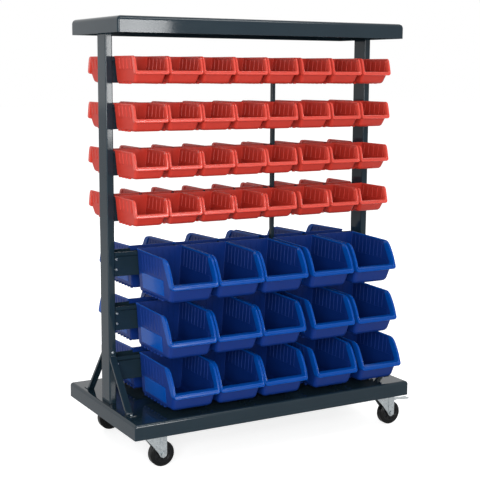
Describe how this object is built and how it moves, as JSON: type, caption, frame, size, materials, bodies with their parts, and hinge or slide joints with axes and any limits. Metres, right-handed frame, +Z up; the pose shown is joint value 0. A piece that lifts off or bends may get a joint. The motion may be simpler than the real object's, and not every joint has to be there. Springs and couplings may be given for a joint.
{
  "type": "mobile bin cart",
  "caption": "Double sided mobile bin rack: hopper bins hang on rails between two posts, under a shelf pan, on a castered deck with brakes at one end.",
  "frame": {"origin": "on the floor, at the middle of the box that holds the whole cart", "axes": "+Z up, +X along the deck towards the end with the brake pedals, -Y the front side of the rack"},
  "size_m": [1.001, 0.5286, 1.272],
  "materials": {
    "dark_grey_paint": "semi-gloss dark blue-grey paint",
    "zinc": "bright zinc plate",
    "red_plastic": "satin moulded red polypropylene",
    "blue_plastic": "satin moulded blue polypropylene",
    "black_tyre": "black rubber",
    "dark_plastic": "dark grey moulded plastic"
  },
  "bodies": {
    "frame": {"base_deck": "dark_grey_paint", "base_channels": "dark_grey_paint", "top_shelf": "dark_grey_paint", "left_post": "dark_grey_paint", "right_post": "dark_grey_paint", "post_bolts": "zinc", "mid_strut": "dark_grey_paint", "front_small_bin_rails": "dark_grey_paint", "front_large_bin_rails": "dark_grey_paint", "front_rail_screws": "zinc", "rear_small_bin_rails": "dark_grey_paint", "rear_large_bin_rails": "dark_grey_paint", "rear_rail_screws": "zinc", "left_rail_brackets": "dark_grey_paint", "right_rail_brackets": "dark_grey_paint", "front_left_brace": "dark_grey_paint", "front_right_brace": "dark_grey_paint", "rear_left_brace": "dark_grey_paint", "rear_right_brace": "dark_grey_paint", "brace_screws": "zinc", "caster_plates": "zinc", "caster_bolts": "zinc"},
    "front_small_bins_1": {"front_small_bins_1": "red_plastic"},
    "front_small_bins_2": {"front_small_bins_2": "red_plastic"},
    "front_small_bins_3": {"front_small_bins_3": "red_plastic"},
    "front_small_bins_4": {"front_small_bins_4": "red_plastic"},
    "front_large_bins_1": {"front_large_bins_1": "blue_plastic"},
    "front_large_bins_2": {"front_large_bins_2": "blue_plastic"},
    "front_large_bins_3": {"front_large_bins_3": "blue_plastic"},
    "rear_small_bins_1": {"rear_small_bins_1": "red_plastic"},
    "rear_small_bins_2": {"rear_small_bins_2": "red_plastic"},
    "rear_small_bins_3": {"rear_small_bins_3": "red_plastic"},
    "rear_small_bins_4": {"rear_small_bins_4": "red_plastic"},
    "rear_large_bins_1": {"rear_large_bins_1": "blue_plastic"},
    "rear_large_bins_2": {"rear_large_bins_2": "blue_plastic"},
    "rear_large_bins_3": {"rear_large_bins_3": "blue_plastic"},
    "front_left_swivel": {"front_left_fork": "zinc", "front_left_axle": "zinc"},
    "front_left_wheel": {"front_left_tyre": "black_tyre", "front_left_hub": "dark_plastic"},
    "rear_left_swivel": {"rear_left_fork": "zinc", "rear_left_axle": "zinc"},
    "rear_left_wheel": {"rear_left_tyre": "black_tyre", "rear_left_hub": "dark_plastic"},
    "front_right_swivel": {"front_right_fork": "zinc", "front_right_axle": "zinc"},
    "front_right_wheel": {"front_right_tyre": "black_tyre", "front_right_hub": "dark_plastic"},
    "front_right_pedal": {"front_right_brake_pedal": "zinc"},
    "rear_right_swivel": {"rear_right_fork": "zinc", "rear_right_axle": "zinc"},
    "rear_right_wheel": {"rear_right_tyre": "black_tyre", "rear_right_hub": "dark_plastic"},
    "rear_right_pedal": {"rear_right_brake_pedal": "zinc"}
  },
  "joints": [
    {"name": "front_small_bins_1_lift", "type": "slide", "parent": "frame", "child": "front_small_bins_1", "axis": [0, 0, 1], "range_m": [0, 0.012]},
    {"name": "front_small_bins_2_lift", "type": "slide", "parent": "frame", "child": "front_small_bins_2", "axis": [0, 0, 1], "range_m": [0, 0.012]},
    {"name": "front_small_bins_3_lift", "type": "slide", "parent": "frame", "child": "front_small_bins_3", "axis": [0, 0, 1], "range_m": [0, 0.012]},
    {"name": "front_small_bins_4_lift", "type": "slide", "parent": "frame", "child": "front_small_bins_4", "axis": [0, 0, 1], "range_m": [0, 0.012]},
    {"name": "front_large_bins_1_lift", "type": "slide", "parent": "frame", "child": "front_large_bins_1", "axis": [0, 0, 1], "range_m": [0, 0.012]},
    {"name": "front_large_bins_2_lift", "type": "slide", "parent": "frame", "child": "front_large_bins_2", "axis": [0, 0, 1], "range_m": [0, 0.012]},
    {"name": "front_large_bins_3_lift", "type": "slide", "parent": "frame", "child": "front_large_bins_3", "axis": [0, 0, 1], "range_m": [0, 0.012]},
    {"name": "rear_small_bins_1_lift", "type": "slide", "parent": "frame", "child": "rear_small_bins_1", "axis": [0, 0, 1], "range_m": [0, 0.012]},
    {"name": "rear_small_bins_2_lift", "type": "slide", "parent": "frame", "child": "rear_small_bins_2", "axis": [0, 0, 1], "range_m": [0, 0.012]},
    {"name": "rear_small_bins_3_lift", "type": "slide", "parent": "frame", "child": "rear_small_bins_3", "axis": [0, 0, 1], "range_m": [0, 0.012]},
    {"name": "rear_small_bins_4_lift", "type": "slide", "parent": "frame", "child": "rear_small_bins_4", "axis": [0, 0, 1], "range_m": [0, 0.012]},
    {"name": "rear_large_bins_1_lift", "type": "slide", "parent": "frame", "child": "rear_large_bins_1", "axis": [0, 0, 1], "range_m": [0, 0.012]},
    {"name": "rear_large_bins_2_lift", "type": "slide", "parent": "frame", "child": "rear_large_bins_2", "axis": [0, 0, 1], "range_m": [0, 0.012]},
    {"name": "rear_large_bins_3_lift", "type": "slide", "parent": "frame", "child": "rear_large_bins_3", "axis": [0, 0, 1], "range_m": [0, 0.012]},
    {"name": "front_left_swivel_turn", "type": "hinge", "parent": "frame", "child": "front_left_swivel", "pos_m": [-0.4265, -0.19, 0.0967], "axis": [0, 0, 1], "continuous": true},
    {"name": "front_left_wheel_roll", "type": "hinge", "parent": "front_left_swivel", "child": "front_left_wheel", "pos_m": [-0.3885, -0.19, 0.0375], "axis": [0, 1, 0], "continuous": true},
    {"name": "rear_left_swivel_turn", "type": "hinge", "parent": "frame", "child": "rear_left_swivel", "pos_m": [-0.4265, 0.19, 0.0967], "axis": [0, 0, 1], "continuous": true},
    {"name": "rear_left_wheel_roll", "type": "hinge", "parent": "rear_left_swivel", "child": "rear_left_wheel", "pos_m": [-0.3885, 0.19, 0.0375], "axis": [0, 1, 0], "continuous": true},
    {"name": "front_right_swivel_turn", "type": "hinge", "parent": "frame", "child": "front_right_swivel", "pos_m": [0.3855, -0.19, 0.0967], "axis": [0, 0, 1], "continuous": true},
    {"name": "front_right_wheel_roll", "type": "hinge", "parent": "front_right_swivel", "child": "front_right_wheel", "pos_m": [0.4235, -0.19, 0.0375], "axis": [0, 1, 0], "continuous": true},
    {"name": "front_right_pedal_press", "type": "hinge", "parent": "front_right_swivel", "child": "front_right_pedal", "pos_m": [0.4125, -0.19, 0.084], "axis": [0, 1, 0], "range_deg": [0, 8]},
    {"name": "rear_right_swivel_turn", "type": "hinge", "parent": "frame", "child": "rear_right_swivel", "pos_m": [0.3855, 0.19, 0.0967], "axis": [0, 0, 1], "continuous": true},
    {"name": "rear_right_wheel_roll", "type": "hinge", "parent": "rear_right_swivel", "child": "rear_right_wheel", "pos_m": [0.4235, 0.19, 0.0375], "axis": [0, 1, 0], "continuous": true},
    {"name": "rear_right_pedal_press", "type": "hinge", "parent": "rear_right_swivel", "child": "rear_right_pedal", "pos_m": [0.4125, 0.19, 0.084], "axis": [0, 1, 0], "range_deg": [0, 8]}
  ]
}
